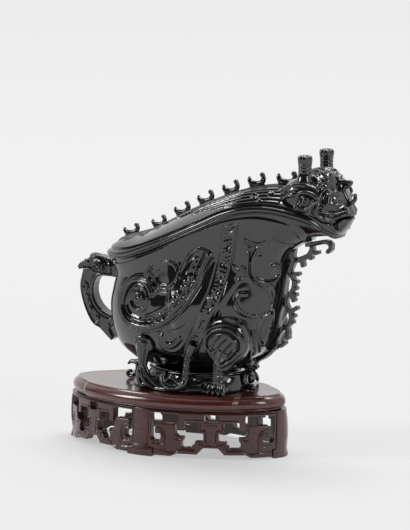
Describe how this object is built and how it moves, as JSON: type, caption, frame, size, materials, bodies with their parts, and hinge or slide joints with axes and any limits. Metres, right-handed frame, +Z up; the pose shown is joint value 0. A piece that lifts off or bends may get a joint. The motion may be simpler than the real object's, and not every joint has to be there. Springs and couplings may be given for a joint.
{
  "type": "guang wine vessel",
  "caption": "Lidded pouring vessel of polished dark stone shaped as a horned beast, with a spout, loop handle, pierced front flange and oval foot, on an oval fretted wood stand.",
  "frame": {"origin": "on the ground under the middle of the object's bounding box", "axes": "+X towards the spout and the beast's face, +Z up, the handle at -X"},
  "size_m": [0.263, 0.1072, 0.2514],
  "materials": {
    "black_stone": "polished",
    "polished_wood": "waxed gloss",
    "fret_wood": "waxed satin"
  },
  "bodies": {
    "stand": {"stand_board": "polished_wood", "stand_post_near": "fret_wood", "stand_post_far": "fret_wood", "stand_post_front": "fret_wood", "stand_post_rear": "fret_wood", "fret_panel_near_front": "fret_wood", "fret_panel_near_rear": "fret_wood", "fret_panel_far_front": "fret_wood", "fret_panel_far_rear": "fret_wood"},
    "vessel": {"bowl": "black_stone", "foot_ring": "black_stone", "fore_leg_near": "black_stone", "fore_leg_far": "black_stone", "hind_leg_near": "black_stone", "hind_leg_far": "black_stone", "serpent_strut_near": "black_stone", "serpent_strut_far": "black_stone", "foot_hooks_front": "black_stone", "foot_hooks_rear": "black_stone", "handle": "black_stone", "spout_flange": "black_stone"},
    "lid": {"lid_shell": "black_stone", "beast_head": "black_stone", "spine_hook_1": "black_stone", "spine_hook_2": "black_stone", "spine_hook_3": "black_stone", "spine_hook_4": "black_stone", "spine_hook_5": "black_stone", "spine_hook_6": "black_stone", "spine_hook_7": "black_stone", "horn_near": "black_stone", "horn_far": "black_stone", "ear_near": "black_stone", "ear_far": "black_stone", "nose_flange": "black_stone"}
  },
  "joints": [
    {"name": "vessel_lift", "type": "slide", "parent": "stand", "child": "vessel", "axis": [0, 0, 1], "range_m": [0, 0.06]},
    {"name": "lid_lift", "type": "slide", "parent": "vessel", "child": "lid", "axis": [0, 0, 1], "range_m": [0, 0.07]}
  ]
}
